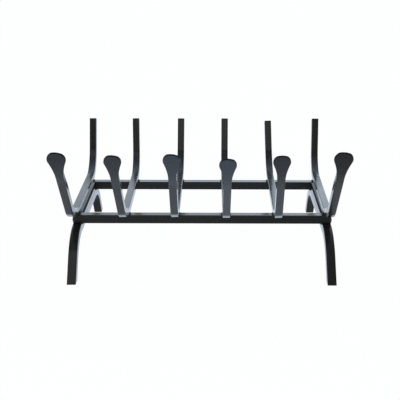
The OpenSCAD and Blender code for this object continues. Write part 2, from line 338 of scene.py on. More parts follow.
class PaddleFace:
    """The face's outline: distance past the tip is negative on the bar."""

    def __init__(self, width, slant):
        self.head = width / 2
        self.back = self.head - CROWN_CUT
        a = np.radians(slant)
        self.crown = np.array([-self.back + (self.back - CROWN_R) * np.cos(a),
                               (self.back - CROWN_R) * np.sin(a)])
        reach = FLANK_R + self.head
        self.flank_u = HALF + FLANK_R
        self.flank_s = np.sqrt(reach ** 2 - self.flank_u ** 2)
        self.touch = self.flank_s * self.head / reach

    def sides(self, s):
        """Lowest and highest point across, at s: the head's circle cut by
        the crown's, the hollow flank's circle behind it, then the bar."""
        head = root(self.head ** 2 - (s + self.back) ** 2)
        crown = root(CROWN_R ** 2 - (s - self.crown[0]) ** 2)
        high = np.minimum(head, self.crown[1] + crown)
        low = np.maximum(-head, self.crown[1] - crown)
        flank = self.flank_u - root(FLANK_R ** 2 - (s + self.back + self.flank_s) ** 2)
        behind = s < -self.back - self.touch
        plain = s < -self.back - self.flank_s
        high = np.where(plain, HALF, np.where(behind, flank, high))
        low = np.where(plain, -HALF, np.where(behind, -flank, low))
        return low, high

    def inset(self, s, u):
        """Distance from the point (s, u) to the nearest edge, from the same
        circles: a radius less the distance to a centre, or the reverse on
        the hollow flank."""
        head = self.head - np.hypot(s + self.back, u)
        crown = CROWN_R - np.hypot(s - self.crown[0], u - self.crown[1])
        flank = np.hypot(s + self.back + self.flank_s,
                         np.abs(u) - self.flank_u) - FLANK_R
        behind = s < -self.back - self.touch
        plain = s < -self.back - self.flank_s
        return np.where(plain, HALF - np.abs(u),
                        np.where(behind, flank, np.minimum(head, crown)))

    def tip(self):
        """How far the outline reaches: the last place where it has width."""
        s = np.linspace(-4 * MM, 1 * MM, 5001)
        low, high = self.sides(s)
        return s[high > low].max()


sample = PaddleFace(34 * MM, 8)
print("neck to tip of a 34 mm paddle, mm:",
      round((sample.back + sample.flank_s + sample.tip()) / MM, 1))

# %% [markdown]
# ## Hammer marks
#
# A flat hammer face leaves shallow dents that overlap like fish scales, with
# soft ridges between them. Adding random noise would give lumps instead. Here
# each blow is a shallow bowl, and the metal is as deep as the deepest bowl
# at that place, which makes the ridges by itself.

# %% Depth of the hammer marks
BLOW_GAP = 9 * MM            # between two blows, give or take 3 mm
BLOW_R = (6.5, 9.5)          # mm, radius of a bowl, least and most
BLOW_DEPTH = (0.10, 0.28)    # mm
FADE_IN = 30 * MM            # length over which the hammered end begins


def hammer_marks(way, across, seed, length, half_width):
    """Depth of the dents at each point.

    Blows fall on a jittered grid. Each is a bowl, its depth times one less
    the square of the distance over its radius, and the deepest bowl counts.
    The marks fade in as f * f * (3 - 2 f), with f from 0 to 1.
    """
    rng = np.random.default_rng(seed)
    rows, cols = int(length / BLOW_GAP) + 1, int(2 * half_width / BLOW_GAP) + 1
    at, to = np.meshgrid(np.arange(rows) * BLOW_GAP,
                         (np.arange(cols) - (cols - 1) / 2) * BLOW_GAP, indexing="ij")
    at = at.ravel() + rng.uniform(-3, 3, at.size) * MM
    to = to.ravel() + rng.uniform(-3, 3, to.size) * MM
    radius = rng.uniform(*BLOW_R, at.size) * MM
    depth = rng.uniform(*BLOW_DEPTH, at.size) * MM
    bowls = depth * (1 - ((way[..., None] - at) ** 2 + (across[..., None] - to) ** 2)
                     / radius ** 2)
    fade = np.clip(way / FADE_IN, 0, 1)
    return np.clip(bowls.max(axis=-1), 0, None) * fade * fade * (3 - 2 * fade)


dents = hammer_marks(np.linspace(0, 0.1, 200), np.zeros(200), 40, 0.1, 17 * MM)
print("dents along a middle line, mm:", round(dents[60:].min() / MM, 2), "to",
      round(dents.max() / MM, 2))

# %% [markdown]
# ## A whole log bar
#
# The bar is one piece of steel from the top of the upright to the tip of the
# paddle, so it is one grid too, with no seam where the arm meets the paddle.
# Each ring stands square to the walk.
#
# The bars were bent and set by eye, so no two are alike. Six copies of one
# bar would look machined. Each bar gets its own small errors below, which are
# those of the CAD model.

# %% What differs from bar to bar
SHIFTS = [-1.5, -1.6, -1.9, -2.4, -1.2, -1.8]    # mm from its even place
LEANS = [0.25, -0.85, 0.5, 0.15, -2.1, 0.65]     # degrees to the right
FANS = [0, 0, 0, 0, -0.25, -0.7]                 # degrees, seen from above
LIFTS = [21, 20, 20.5, 17.5, 17.5, 21.5]         # degrees of the first slope
ARM_EXTRAS = [4.5, -3, 0.5, -10.5, 0.5, 6.5]     # mm
UPRIGHT_SHORTS = [0, 0, 0, 0, 5, 0]              # mm
HEEL_FLATS = [18, 18, 21, 18, 20, 18]            # mm, length of the heel's flat
SLANTS = [10, 8, 8, 4, 3, 6]                     # degrees of the blunt top
PADDLE_WIDTHS = [36.5, 34, 34, 34, 34, 36.5]     # mm
print("arms, mm:", [round(ARM_RUN / MM + extra, 1) for extra in ARM_EXTRAS])

# %% [markdown]
# ## The forged heel
#
# Where the bar turns up into the arm, the smith set the corner down on the
# anvil, and that left a short flat on its outside. It shows as a bright facet
# at the foot of each arm. One round bend would roll that light off evenly, so
# the heel is walked as two bends with a straight flat between them, and stays
# within two millimetres of the CAD model's round heel.

# %% Bending the heel in two steps
def heel(index):
    """Length to add before the heel, its three moves, and length after it.

    One bend of radius HEEL_R would have its corner at the radius times the
    tangent of half the turn from each of its ends. The flat cuts a triangle
    off that corner: by the law of sines, each of its two other sides is the
    flat times the sine of the far bend over the sine of the whole turn. Each
    of the two bends then takes its own radius times the tangent of half its
    turn off the lengths beside it.
    """
    into, out = HEEL_ANGLE - LIFTS[index], ARM_ANGLE - HEEL_ANGLE
    a, b = np.radians([into, out])
    flat = HEEL_FLATS[index] * MM
    corner = HEEL_R * np.tan((a + b) / 2)
    ease_a, ease_b = HEEL_INTO * np.tan(a / 2), HEEL_OUT * np.tan(b / 2)
    before = corner - flat * np.sin(b) / np.sin(a + b) - ease_a
    after = corner - flat * np.sin(a) / np.sin(a + b) - ease_b
    moves = [(HEEL_INTO * a, into), (flat - ease_a - ease_b, 0), (HEEL_OUT * b, out)]
    return before, moves, after


print("straight part of each heel's flat, mm:",
      [round(float(heel(k)[1][1][0]) / MM, 1) for k in range(6)])


# %% Stations along a log bar
def bar_stations(index):
    """Forward, up and heading from the upright's top to the end of the arm.

    The walk starts at the top, heading down. It is then turned by the rear
    bend's angle, (f, h) to (f cos a - h sin a, f sin a + h cos a), so that
    the run lies level on the frame.
    """
    up = UPRIGHT_H - UPRIGHT_SHORTS[index] * MM
    turned, lift = 90 - UPRIGHT_LEAN, LIFTS[index]
    sink = (REAR_R - HALF) * (1 - np.cos(np.radians(turned)))
    top = (up - BAR - sink) / np.sin(np.radians(turned))
    run = BACK_Y - FRONT_Y - BEND_BACK - LIFT_Y
    before, heel_moves, after = heel(index)
    forward, height, heading = walk([
        (top, 0), (REAR_R * np.radians(turned), turned), (run, 0),
        (LIFT_R * np.radians(lift), lift), (HEEL_RUN + before, 0), *heel_moves,
        (ARM_RUN + ARM_EXTRAS[index] * MM + after, 0)])
    a = -np.radians(turned)
    forward, height = (forward * np.cos(a) - height * np.sin(a),
                       forward * np.sin(a) + height * np.cos(a))
    heading = heading + a
    level = np.flatnonzero(np.abs(heading) < 1e-9)
    forward = forward - forward[level[0]] + BEND_BACK
    height = height - height[level[0]] + HALF
    return forward, height, heading


stations = bar_stations(0)
print("log bar 1:", len(stations[0]), "stations, arm ends, mm:",
      [round(float(v[-1]) / MM, 1) for v in stations[:2]])

# %% [markdown]
# ## The plain length of the bar
#
# Square bar that is bent tightly bulges on the inside of the bend and draws
# in on the outside, into a slight keystone. The rings do the same, and only
# there. The top of the upright is a sawn end with its arris filed off.

# %% Rings of the plain length
BULGE = 0.12   # share of the full keystone shape that a tight bend gets


def end_round(count=5):
    """Inset and way at a cut end whose corners are rounded: a quarter
    circle of radius EDGE, as (shrink of the ring, distance from the end)."""
    angle = np.linspace(0, np.pi / 2, count)
    return EDGE * (1 - np.sin(angle))[:-1], EDGE * (1 - np.cos(angle))[:-1]


def plain_rings(forward, height, heading):
    """Rings (across, forward, up), with the forward and heading of each.

    A point lies at its station plus up times the normal, which is (-sin,
    cos) of the heading. Its width is multiplied by 1 + BULGE * curvature *
    up. At the top the rings shrink as end_round says.
    """
    way = np.concatenate([[0], np.cumsum(np.hypot(np.diff(forward), np.diff(height)))])
    bend = np.convolve(np.gradient(heading, way), [0.25, 0.5, 0.25], mode="same")
    shrink, drop = end_round()
    first = len(shrink)
    forward = np.r_[forward[0] + drop * np.cos(heading[0]), forward[1:]]
    height = np.r_[height[0] + drop * np.sin(heading[0]), height[1:]]
    heading = np.r_[np.full(first, heading[0]), heading[1:]]
    bend = np.r_[np.zeros(first), bend[1:]]
    inset = np.r_[shrink, np.zeros(len(forward) - first)]

    corner = EDGE - np.minimum(inset, 0.9 * EDGE)
    half = HALF - inset
    up = FLAT_U * (half - corner)[:, None] + ROUND_U * corner[:, None]
    across = FLAT_A * (half - corner)[:, None] + ROUND_A * corner[:, None]
    across = across * (1 + BULGE * bend[:, None] * up)
    f = forward[:, None] - np.sin(heading)[:, None] * up
    h = height[:, None] + np.cos(heading)[:, None] * up
    return np.stack([across, f, h], axis=-1), forward, heading


print("rings on the plain length:", len(plain_rings(*bar_stations(0))[0]))

# %% [markdown]
# ## The hammered end as rings
#
# The rings go on along the front face. Near the blunt top the outline turns
# across the bar, and even steps would leave a stair there, so the rings
# crowd together towards the tip. Their edges are rounded by the distance to
# the outline, not by the ring, and so the top gets the same soft edge as the
# sides. The dents are pressed in last.

# %% Where the rings of the hammered end stand
RING_STEP = 1.5 * MM     # between two rings
CROWD = 10 * MM          # from here to the tip they crowd together


def end_stations(face):
    """Ways past the arm's end, and the whole way to the tip. On the last
    part the way that is left falls as one less a sine."""
    ways = np.linspace(0, 0.2, 4001)
    whole = np.interp(face.tip() - 0.01 * MM, face_place(*front_face(ways)[:2]), ways)
    even = np.linspace(whole, CROWD, int((whole - CROWD) / RING_STEP))[1:-1]
    left = np.r_[even, CROWD * (1 - np.sin(np.linspace(0, np.pi / 2, 22)))]
    return whole - left, whole


print("way to the tip of the sample paddle, mm:",
      round(end_stations(sample)[1] / MM, 1))


# %% Rings of the hammered end
FLANK_DULL = 0.35         # dullness of the flanks' rims, where the top's is 1


def hammered_rings(index):
    """Rings (across, along, up) of the hammered end, the way to each, and
    how dull each point is, up to 1 at the rim of the blunt top.

    A flat face stands half the thickness from the middle. Within EDGE of
    the outline it falls as a quarter circle. A dent takes its share of the
    half thickness.
    """
    face = PaddleFace(PADDLE_WIDTHS[index] * MM, SLANTS[index])
    w, whole = end_stations(face)
    p, q, turn = front_face(w)
    t = thickness(w)
    s = face_place(p, q)
    low, high = face.sides(s)
    middle, half = (high + low) / 2, (high - low) / 2
    corner = np.minimum(EDGE, 0.98 * half)
    across = (middle[:, None] + FLAT_A * (half - corner)[:, None]
              + ROUND_A * corner[:, None])
    b = (t / 2)[:, None]
    edge = np.minimum(EDGE, 0.45 * t)[:, None]
    inset = np.clip(face.inset(s[:, None] + 0 * across, across), 0, edge)
    crest = b - edge + root(edge ** 2 - (edge - inset) ** 2)
    up = np.where(np.abs(FLAT_U) < 1, FLAT_U * (b - edge), np.sign(FLAT_U) * crest)
    dents = [hammer_marks(w[:, None] + 0 * across, across, 40 + 2 * index + k, whole,
                          face.head) for k in (0, 1)]
    up = up * (1 - np.where(up > 0, dents[0], dents[1]) / b)

    f = (p - np.sin(turn) * t / 2)[:, None] - np.sin(turn)[:, None] * up
    h = (q + np.cos(turn) * t / 2)[:, None] + np.cos(turn)[:, None] * up
    rim = 1 - np.clip(inset / edge, 0, 1)
    top = np.clip((s + face.back) / (0.5 * face.head), 0, 1)[:, None]
    dull = rim * (FLANK_DULL + (1 - FLANK_DULL) * top)
    return np.stack([across, f, h], axis=-1), w, dull


print("rings on a hammered end:", len(hammered_rings(0)[0]))

# %% [markdown]
# ## Scale on a bar, and its painted sheen and shade
#
# The forge leaves scale on the parts that were heated, and the paint is rougher on it:
# on the paddles and on the inside of the rear bend. A blue-grey stands in for
# reflections. It is a painted sheen on the front of the arms, on the paddles and on the
# inside of the rear bend, and it differs from bar to bar. A dull soot black stands in
# for shade. It is a painted shade on the run just in front of the rear bend, and over
# bar 6's hammered end. The rim of each paddle, most of all its blunt top, is dull black
# as well. A texture in space couldn't know where those places are, so every ring
# carries three marks, which the paint's nodes read: one for the hammering, one for the
# painted sheen, and one for the dull black and painted shade.

# %% Marks for the paint
# painted sheen and painted shade, bar by bar: grey that stands in for reflections, and
# dull black that stands in for shade
ARM_PAINTED_SHEEN = [0, 0.05, 0.25, 0.9, 0.4, 0.1]       # share of grey on the arm
PADDLE_PAINTED_SHEEN = [0.35, 0.5, 0.85, 1, 0.3, 0]      # and on the hammered end
BEND_PAINTED_SHEEN, BEND_SCALE = 0.8, 0.6                # grey and scale on the rear bend
PADDLE_PAINTED_SHADE = [0, 0, 0, 0, 0, 0.2]                # share of painted shade, as dull black paint
DULL_IN = 60 * MM                                 # way over which the rim dulls
RUN_PAINTED_SHADE, RUN_FADE = 0.4, 110 * MM                # painted shade as dull paint before the bend, and its fade


def paint_marks(index, at, heading, past, dull):
    """The marks of log bar index: hammered, the painted sheen, and the dull black with
    its painted shade. at and heading belong to the plain rings, past and dull to those
    of the hammered end.

    On the rear bend, of which the share t is still to turn, scale and painted sheen
    grow as 6.75 t (1 - t)^2, which is 1 where a third is left. On the arm the painted
    sheen grows with the square of the heading. The run's painted shade falls in
    proportion to the way from the bend.
    """
    inner = (1 + FLAT_U) / 2     # 1 on the face to the logs, 0 on the outer one
    left = np.clip(-heading / np.radians(90 - UPRIGHT_LEAN), 0, 1)
    bend = 6.75 * left * (1 - left) ** 2
    flattened = np.clip(past / FADE_IN, 0, 1)
    hammered = np.r_[BEND_SCALE * bend, flattened]

    # painted sheen: a blue-grey that stands in for reflections, on the arm's outer
    # face, on the hammered end and on the rear bend's inner face
    arm = np.clip(heading / np.radians(ARM_ANGLE), 0, 1) ** 2 * ARM_PAINTED_SHEEN[index]
    end = ARM_PAINTED_SHEEN[index] + (PADDLE_PAINTED_SHEEN[index] - ARM_PAINTED_SHEEN[index]) * flattened
    painted_sheen = (np.r_[arm, end][:, None] * (1 - inner)
             + BEND_PAINTED_SHEEN * np.r_[bend, 0 * past][:, None] * inner)

    # painted shade: dull black on the top of the run in front of the rear bend, for a
    # darker reflection there
    fade = np.clip(1 - np.abs(at - BEND_BACK) / RUN_FADE, 0, 1)
    run = RUN_PAINTED_SHADE * (fade * (np.abs(heading) < 0.01))[:, None] * (FLAT_U > 0.9)
    # the paddle's rim is dull black, and bar 6's hammered end gets some painted shade
    # as well
    end = np.maximum(dull, PADDLE_PAINTED_SHADE[index]) * np.clip(past / DULL_IN, 0, 1)[:, None]
    return {"hammered": np.tile(hammered[:, None], RING), "painted_sheen": painted_sheen,
            "dull_and_painted_shade": np.concatenate([run, end])}


print("grey on the arms:", ARM_PAINTED_SHEEN, "and paddles:", PADDLE_PAINTED_SHEEN)

# %% [markdown]
# ## The bar in its place
#
# Both lengths are joined, then leaned and fanned about the bar's seat on the frame, as
# the CAD model does. What a lean would sink into the frame is dressed flat on it. At
# the outer bars the lower part of the foot, round the corner weld, is dull black:
# partly a dark weld joint, partly painted shade.

# %% Joining the two lengths
def bar_grid(index):
    """All rings of log bar index, and its marks. The hammered end is turned
    by the arm's slope a, (f, h) to (f cos a - h sin a, f sin a + h cos a),
    and starts where the arm ends."""
    forward, height, heading = bar_stations(index)
    plain, at, slope = plain_rings(forward, height, heading)
    end, past, dull = hammered_rings(index)
    a, f, h = heading[-1], end[..., 1], end[..., 2]
    end = np.stack([end[..., 0], forward[-1] + f * np.cos(a) - h * np.sin(a),
                    height[-1] + f * np.sin(a) + h * np.cos(a)], axis=-1)
    return np.concatenate([plain, end]), paint_marks(index, at, slope, past, dull)


print("rings and points of log bar 1:", bar_grid(0)[0].shape[:2])

# %% Leaning, fanning and placing a bar
PITCH = (2 * HALF_FRAME - BAR) / 5    # between two log bars


def place_local(grid, index):
    """Leans and fans (x, y, z) about a bar's seat, and moves it there. A
    lean turns about Y by x cos + z sin, a fan about Z."""
    x, y, z = np.moveaxis(grid, -1, 0)
    lean, fan = np.radians(LEANS[index]), np.radians(FANS[index])
    x, z = x * np.cos(lean) + z * np.sin(lean), z * np.cos(lean) - x * np.sin(lean)
    x, y = x * np.cos(fan) - y * np.sin(fan), x * np.sin(fan) + y * np.cos(fan)
    x = x + index * PITCH + HALF - HALF_FRAME + SHIFTS[index] * MM
    return np.stack([x, y + FRONT_Y, z + FRAME_TOP], axis=-1)


def place_bar(grid, index):
    """A log bar in its place: (across, forward, up) becomes X, Y and Z, and
    what a lean would sink into the frame is dressed flat on its top."""
    grid = place_local(np.stack([grid[..., 0], BACK_Y - FRONT_Y - grid[..., 1],
                                 grid[..., 2]], axis=-1), index)
    inside = (grid[..., 1] > FRONT_Y) & (grid[..., 1] < BACK_Y)
    grid[..., 2] = np.where(inside, np.maximum(grid[..., 2], FRAME_TOP), grid[..., 2])
    return grid


print("spacing of the log bars, mm:", round(PITCH / MM, 1))

# %% Forging the six log bars
FOOT_AT, FOOT_LONG = 18 * MM, 22 * MM    # middle and half length of the dark foot: dark weld and painted shade

for number in range(6):
    grid, marks = bar_grid(number)
    grid = place_bar(grid, number)
    marks["corner"] = np.tile(ON_CORNER, (len(grid), 1))
    # partly a dark weld joint, partly painted shade: the lower faces round the outer
    # bars' feet go dull black
    if number in (0, 5):
        away = np.abs(grid[..., 1] - FRONT_Y + FOOT_AT) / FOOT_LONG
        low = np.clip((0.5 - FLAT_U) / 0.5, 0, 1)
        marks["dull_and_painted_shade"] = np.maximum(marks["dull_and_painted_shade"], np.clip(2 - away, 0, 1) * low)
    skin(f"forged_bar_{number + 1}", [grid], f"log_bar_{number + 1}",
         marks)

# %% [markdown]
# ## The frame
#
# Four lengths of heavier bar, sawn square: the front and rear rails run the
# whole width, and the side rails butt between them. A sawn end has its sharp
# arris knocked off with a file, so its ring shrinks a little there.
#
# Two places are painted with shade, as dull black. One is the upper part of the side
# rails' inner faces, which lies in the shadowed gap under the outer log bars and shows
# as a black band. The other is the right half of the front rail, darker in part, as if
# the floor that it mirrors lay in shade.

# %% Cutting the rails
def sawn_bar(length, size, filed=True):
    """A straight bar, as rings of (along, across, up) about its middle.

    Its rings stand at even steps. At a filed end the ring shrinks by
    EDGE * (1 - sin) at EDGE * (1 - cos) from the end: a quarter circle.
    """
    at = np.linspace(-length / 2, length / 2, int(length / (6 * MM)))
    inset = np.zeros(len(at))
    if filed:
        shrink, drop = end_round()
        at = np.r_[drop - length / 2, at[1:-1], length / 2 - drop[::-1]]
        inset = np.r_[shrink, np.zeros(len(at) - 2 * len(shrink)), shrink[::-1]]
    corner = EDGE - np.minimum(inset, 0.9 * EDGE)
    half = size / 2 - inset
    across = FLAT_A * (half - corner)[:, None] + ROUND_A * corner[:, None]
    up = FLAT_U * (half - corner)[:, None] + ROUND_U * corner[:, None]
    return np.stack([at[:, None] + 0 * across, across, up], axis=-1)


print("rings on a 500 mm rail:", len(sawn_bar(0.5, RAIL)))

# %% The front and rear rails
RAIL_Z = FRAME_TOP - HALF_RAIL
RAIL_PAINTED_SHADE = {"front_rail": 0.3, "rear_rail": 0.0}    # dull share on the right
SHADE_FROM_MIDDLE = 160 * MM                          # way over which it grows

for node, y in (("front_rail", FRONT_Y + HALF_RAIL), ("rear_rail", BACK_Y - HALF_RAIL)):
    grid = sawn_bar(2 * HALF_FRAME, RAIL) + np.array([0, y, RAIL_Z])
    # painted shade: the front and back faces of the front rail's right half go partly
    # dull black
    shaded = RAIL_PAINTED_SHADE[node] * np.clip(grid[..., 0] / SHADE_FROM_MIDDLE, 0, 1)
    skin("sawn_" + node, [grid], node,
         {"corner": np.tile(ON_CORNER, (len(grid), 1)),
          "dull_and_painted_shade": shaded * (np.abs(FLAT_U) < 1)})

# %% The side rails
FACE_SKIN = 0.9 * MM                      # points this near a face belong to it
BAND_LOW, BAND_SOFT = 1.5 * MM, 2 * MM    # its lower rim under the middle; blur

for node, side in (("side_rail_left", -1), ("side_rail_right", 1)):
    grid = sawn_bar(BACK_Y - FRONT_Y - 2 * RAIL, RAIL, filed=False)[..., [1, 0, 2]]
    # painted shade: the upper part of each inner face goes dull black, for the shadowed
    # gap under the outer bar
    inner = np.abs(grid[..., 0] + side * HALF_RAIL) < FACE_SKIN
    high = np.clip((grid[..., 2] + BAND_LOW) / BAND_SOFT, 0, 1)
    grid = grid + np.array([side * (HALF_FRAME - HALF_RAIL), (FRONT_Y + BACK_Y) / 2,
                            RAIL_Z])
    skin("sawn_" + node, [grid], node,
         {"corner": np.tile(ON_CORNER, (len(grid), 1)), "dull_and_painted_shade": inner * high})

# %% [markdown]
# ## The legs
#
# Each leg is one bar bent twice into an arch, so it is a walk as well: up from the
# front foot, level under the frame, and down to the rear foot. The feet are sawn level.
# Sliding each point of the last length along the bar until it meets the floor gives
# that slanting cut exactly. The rear halves are painted dull black underneath, the left
# one more than the right: painted shade, for the shaded floor under the grate that they
# mirror.

# %% Bending the arch of a leg
LEG_R, LEG_ANGLE = 92 * MM, 56.0               # the bends; slope of both ends
FRONT_REACH, REAR_REACH = 116 * MM, 97 * MM    # of the soles past the frame


def arch_rings():
    """Rings of the arch, its top at height 0, with the two directions that
    its ends run in, front first.

    From a sole to where the arch is level its outer face goes the outer
    radius times the sine of the slope, plus the height that the bend leaves
    over, divided by the tangent of the slope.
    """
    angle = np.radians(LEG_ANGLE)
    outer = LEG_R + HALF_RAIL
    foot = (outer * np.sin(angle)
            + (FRAME_UNDER - outer * (1 - np.cos(angle))) / np.tan(angle))
    start = FRONT_Y - FRONT_REACH + foot
    end = BACK_Y + REAR_REACH - foot
    y, z, heading = walk([(LEG_R * angle, -LEG_ANGLE), (end - start, 0),
                          (LEG_R * angle, -LEG_ANGLE)])
    # turned by the leg's angle, so that the middle is level
    y, z = (y * np.cos(angle) - z * np.sin(angle),
            y * np.sin(angle) + z * np.cos(angle))
    heading = heading + angle
    y = y - y.mean() + (start + end) / 2
    z = z - z.max() - HALF_RAIL
    across = FLAT_A * (HALF_RAIL - EDGE) + ROUND_A * EDGE
    up = FLAT_U * (HALF_RAIL - EDGE) + ROUND_U * EDGE
    grid = np.stack([across + 0 * y[:, None],
                     y[:, None] - np.sin(heading)[:, None] * up,
                     z[:, None] + np.cos(heading)[:, None] * up], axis=-1)
    ways = np.array([[0, -np.cos(angle), -np.sin(angle)],
                     [0, np.cos(angle), -np.sin(angle)]])
    return grid, ways


print("rings on the arch:", len(arch_rings()[0]))

# %% From the arch to the sole
SOLE_ROUND = 0.4 * MM    # the filed arris round each sole


def leg_foot(ring, way):
    """Rings from the end of the arch to the sole. A point P slides along
    the bar's direction d by t * P.z / -d.z, with t from 0 to 1, so that t =
    1 lies on the floor. The last two rings round the filed arris."""
    share = np.linspace(0, 1, 20)[1:]
    slide = (ring[:, 2] - SOLE_ROUND) / -way[2]
    rings = ring + share[:, None, None] * slide[:, None] * way
    sole = rings[-1] + (rings[-1].mean(0) - rings[-1]) * (SOLE_ROUND / HALF_RAIL)
    sole[:, 2] = 0
    return np.concatenate([rings, sole[None]])


foot = leg_foot(arch_rings()[0][0] + np.array([0, 0, FRAME_UNDER]), arch_rings()[1][0])
print("front foot stands at Y, mm:", np.round(foot[-1, :, 1].min() / MM, 1), "to",
      np.round(foot[-1, :, 1].max() / MM, 1))

# %% The two legs
LEG_LEANS = {"left": -0.2, "right": 1.0}    # degrees
LEG_PAINTED_SHADE = {"left": 0.6, "right": 0.5}      # dull share under the rear halves
SHADE_IN = 20 * MM                           # way over which the painted shade begins


def leg_grid(side, lean):
    """Rings of one leg, from the sole of the front foot to the rear one. It
    leans about its top by (x cos + z sin, z cos - x sin), then stands under
    the frame's side and is dressed flat where it meets the frame."""
    grid, ways = arch_rings()
    a = np.radians(-lean)
    turn = np.array([[np.cos(a), 0, -np.sin(a)], [0, 1, 0], [np.sin(a), 0, np.cos(a)]])
    grid, ways = grid @ turn, ways @ turn
    grid = grid + np.array([side * (HALF_FRAME - HALF_RAIL), 0, FRAME_UNDER])
    inside = (grid[..., 1] > FRONT_Y) & (grid[..., 1] < BACK_Y)
    grid[..., 2] = np.where(inside, np.minimum(grid[..., 2], FRAME_UNDER), grid[..., 2])
    return np.concatenate([leg_foot(grid[0], ways[0])[::-1], grid,
                           leg_foot(grid[-1], ways[1])])


for hand, side in (("left", -1), ("right", 1)):
    grid = leg_grid(side, LEG_LEANS[hand])
    # painted shade: dull black under the rear halves of the legs
    rear = np.clip((grid[..., 1] - BACK_Y) / SHADE_IN, 0, 1)
    rear = LEG_PAINTED_SHADE[hand] * rear * (FLAT_U < -0.9)
    skin("bent_leg_" + hand, [grid], "leg_arch_" + hand,
         {"corner": np.tile(ON_CORNER, (len(grid), 1)), "dull_and_painted_shade": rear})

# %% [markdown]
# ## Weld beads
#
# A bead is laid in small steps, and each step freezes as a crescent over the
# one before, like a row of coins pushed over. A plain rounded fillet would
# look like glue. So the bead's radius dips a little between the coins, and
# the dips bow backwards along the bead.

# %% One fillet bead with its ripples
COIN = 1.5 * MM     # spacing of the crescents
DIP = 0.12          # how deep the radius dips between two of them
BOW = 0.9 * MM      # how far a crescent bows backwards


def fillet_bead(radius, length, opening):
    """Rings of a bead along Y, in the corner from +Z round towards +X.

    The radius at y is that of a rod with round ends: the root of radius^2
    less the square of the way into the end. It is multiplied by 1 - DIP *
    (a half plus half a cosine of y over COIN), with y shifted by a bow that
    is largest in the middle of the bead.
    """
    reach = length / 2 + radius
    # rings crowd together towards both ends; the two that have no width are left
    # out, and the flat face of the last ring closes the bead
    y = reach * np.sin(np.linspace(-np.pi / 2, np.pi / 2, 90))[1:-1]
    into = np.clip(np.abs(y) - length / 2, 0, None)
    rod = np.sqrt(radius ** 2 - into ** 2)
    angle = np.radians(np.linspace(0, opening, 15))
    bow = BOW * np.sin(np.pi * angle / angle[-1])
    wave = 0.5 + 0.5 * np.cos(2 * np.pi * (y[:, None] + bow) / COIN)
    r = rod[:, None] * (1 - DIP * wave)
    arc = np.stack([r * np.sin(angle), y[:, None] + 0 * r, r * np.cos(angle)], axis=-1)
    seat = np.stack([0 * y, y, 0 * y], axis=-1)[:, None]
    return np.concatenate([seat, arc], axis=1)


print("rings in a bead:", len(fillet_bead(2.5 * MM, 9 * MM, 90)))

# %% Beads where the log bars cross the rails
BEAD_R, BEAD_LENGTH = 2.5 * MM, 9 * MM    # of the rod; without its round ends


def bar_beads(index, y):
    """The beads on both sides of a bar; the outer bars have one, inside.

    A bead's root lies half a bar to the side, and as much higher as the lean
    lifts that corner. Where the bar leans over it, it has the lean less than
    a right angle to fill.
    """
    lean = np.radians(LEANS[index])
    beads = []
    for side in (1, -1):
        if (index == 5 and side == 1) or (index == 0 and side == -1):
            continue
        grid = fillet_bead(BEAD_R, BEAD_LENGTH, 90 - side * LEANS[index])
        grid = grid * np.array([side, 1, 1])
        grid = grid + np.array([side * HALF, y, side * HALF * np.tan(lean)])
        beads.append(place_local(grid, index))
    return beads


for number in range(6):
    for row, y in (("front", HALF_RAIL), ("rear", BACK_Y - FRONT_Y - HALF_RAIL)):
        skin(f"weld_bead_{row}_{number + 1}", bar_beads(number, y),
             f"{row}_weld_{number + 1}")

# %% Beads under the frame, beside the legs
FOOT_BEAD_R = 4 * MM
for hand, side in (("left", -1), ("right", 1)):
    for row, y in (("front", FRONT_Y + HALF_RAIL), ("rear", BACK_Y - HALF_RAIL)):
        grid = fillet_bead(FOOT_BEAD_R, RAIL / 3, 90) * np.array([-side, 1, -1])
        grid = grid + np.array([side * (HALF_FRAME - RAIL), y, FRAME_UNDER])
        skin(f"weld_bead_leg_{row}_{hand}", [grid],
             f"leg_weld_{row}_{hand}")

# %% [markdown]
# ## Weld caps on the frame's ends
#
# The joint of rail and leg shows at the end of the frame as a flat round
# puddle of weld. It is a shallow dome, uneven at its rim, with the same
# crescents running across it.

# %% Puddles of weld
CAP_R, CAP_OUT, CAP_DROP = 8 * MM, 2.5 * MM, 13 * MM    # CAP_DROP from the top
CURVE = 0.04 / MM    # bend of the crescents, as height over the square of width


def weld_cap(side, seed):
    """Rings of a dome from its rim to its top, pointing to +X or -X.

    Height over the end face: that of a sphere through the rim and the top,
    less DIP of it between the crescents. The rim's radius falls short of
    CAP_R by three slow waves round it.
    """
    sphere = (CAP_R ** 2 + CAP_OUT ** 2) / (2 * CAP_OUT)
    share = np.cos(np.linspace(0, np.pi / 2, 26))[:-1, None]
    angle = np.linspace(0, 2 * np.pi, 64, endpoint=False)
    rng = np.random.default_rng(seed)
    ragged = sum(0.02 * (1 + np.cos(k * angle + rng.uniform(0, 6))) for k in (2, 3, 5))
    r = share * CAP_R * (1 - ragged)
    high = np.sqrt(sphere ** 2 - (share * CAP_R) ** 2) - (sphere - CAP_OUT)
    y, z = r * np.cos(angle), r * np.sin(angle)
    wave = 0.5 + 0.5 * np.cos(2 * np.pi * (z + CURVE * y ** 2) / COIN)
    return np.stack([side * high * (1 - DIP * wave), y, z], axis=-1)


for count, (hand, side) in enumerate((("left", -1), ("right", 1))):
    for row, y in (("front", FRONT_Y + HALF_RAIL), ("rear", BACK_Y - HALF_RAIL)):
        grid = weld_cap(side, 10 * count + len(row))
        grid = grid + np.array([side * HALF_FRAME, y, FRAME_TOP - CAP_DROP])
        skin(f"weld_cap_{row}_{hand}", [grid],
             f"corner_weld_{row}_{hand}")

# %% [markdown]
# ## Colours and nodes
#
# A colour picked from a screen is an sRGB value, which a shader can't use as
# it is: light adds up in linear values. One function turns one into the
# other. A second one adds a node with its settings and links, so that each
# finish below reads as a list of what feeds what.

